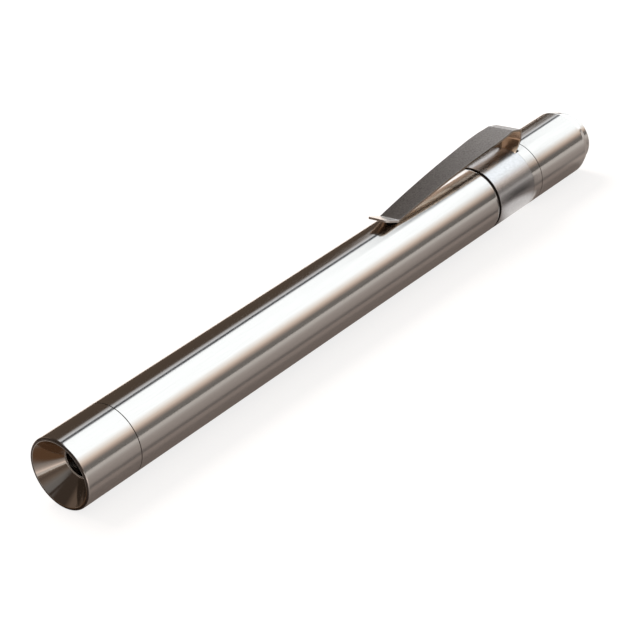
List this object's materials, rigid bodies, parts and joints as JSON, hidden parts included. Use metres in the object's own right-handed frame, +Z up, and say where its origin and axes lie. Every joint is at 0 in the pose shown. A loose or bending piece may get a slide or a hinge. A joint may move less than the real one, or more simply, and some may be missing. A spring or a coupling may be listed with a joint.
{
  "type": "penlight",
  "caption": "Slim metal penlight with a screw-off head and tail cap, a tail push button and a sprung pocket clip.",
  "frame": {"origin": "middle of the penlight's length and width, on the plane that the round body lies on", "axes": "+X along the body from the lamp's mouth to the tail button, +Z up through the pocket clip"},
  "size_m": [0.1422, 0.013, 0.017],
  "materials": {
    "polished_steel": "polished stainless steel with fine drawn lines along the axis",
    "reflector_steel": "polished turned cone",
    "brushed_band": "satin stainless steel sheet",
    "clip_steel": "matte grained spring steel, brighter on its bent edges",
    "spring_steel": "drawn spring wire",
    "brass": "turned brass",
    "black_rubber": "matte black rubber",
    "clear_lens": "clear cast epoxy",
    "tinned_wire": "tinned steel legs",
    "white_plastic": "moulded off-white plastic",
    "black_plastic": "moulded black plastic",
    "green_board": "glass-fibre circuit board with green lacquer",
    "dark_coil": "dark ferrite",
    "black_chip": "black moulded epoxy",
    "copper_wire": "copper wire",
    "tan_insulator": "fibre insulating disc",
    "cell_jacket": "plain shrink jacket",
    "cell_steel": "nickel-plated steel"
  },
  "bodies": {
    "barrel": {"barrel_tube": "polished_steel", "lamp_lens": "clear_lens", "lamp_legs": "tinned_wire", "lamp_holder": "white_plastic", "module_shell": "brass", "driver_board": "green_board", "board_coil": "dark_coil", "board_chip": "black_chip", "contact_wire": "copper_wire", "module_insulator": "tan_insulator", "front_contact": "brass", "front_cell_can": "cell_jacket", "front_cell_cap": "cell_steel", "front_cell_base": "cell_steel", "rear_cell_can": "cell_jacket", "rear_cell_cap": "cell_steel", "rear_cell_base": "cell_steel", "clip_band": "brushed_band", "collar_ring": "polished_steel"},
    "clip": {"clip_arm": "clip_steel"},
    "head_carrier": {"head_washer": "black_rubber"},
    "head": {"head_shell": "polished_steel", "reflector": "reflector_steel"},
    "cap_carrier": {"tail_washer": "black_rubber"},
    "tail_cap": {"tail_cap": "polished_steel", "switch_retainer": "brass", "switch_housing": "black_plastic", "switch_contact": "brass", "battery_spring": "spring_steel", "button_spring": "spring_steel"},
    "button": {"button": "polished_steel", "switch_plunger": "white_plastic", "contact_plate": "brass"}
  },
  "joints": [
    {"name": "clip_flex", "type": "hinge", "parent": "barrel", "child": "clip", "pos_m": [0.04964, 0, 0.0124], "axis": [0, 1, 0], "range_deg": [0, 4], "stiffness_Nm_per_rad": 2, "springref_deg": -1.72},
    {"name": "head_travel", "type": "slide", "parent": "barrel", "child": "head_carrier", "axis": [-1, 0, 0], "range_m": [0, 0.004]},
    {"name": "head_turn", "type": "hinge", "parent": "head_carrier", "child": "head", "pos_m": [0, 0, 0.0065], "axis": [-1, 0, 0], "range_deg": [0, 1450]},
    {"name": "cap_travel", "type": "slide", "parent": "barrel", "child": "cap_carrier", "axis": [1, 0, 0], "range_m": [0, 0.005], "deforming": ["battery_spring"]},
    {"name": "cap_turn", "type": "hinge", "parent": "cap_carrier", "child": "tail_cap", "pos_m": [0, 0, 0.0065], "axis": [1, 0, 0], "range_deg": [0, 1810]},
    {"name": "button_press", "type": "slide", "parent": "tail_cap", "child": "button", "axis": [-1, 0, 0], "range_m": [0, 0.0016], "stiffness_N_per_m": 1500, "springref_m": -0.0008, "deforming": ["button_spring"]}
  ],
  "couplings": [
    {"joint": "head_turn", "follows": "head_travel", "rad_per_m": 6283.2},
    {"joint": "cap_turn", "follows": "cap_travel", "rad_per_m": 6283.2}
  ]
}
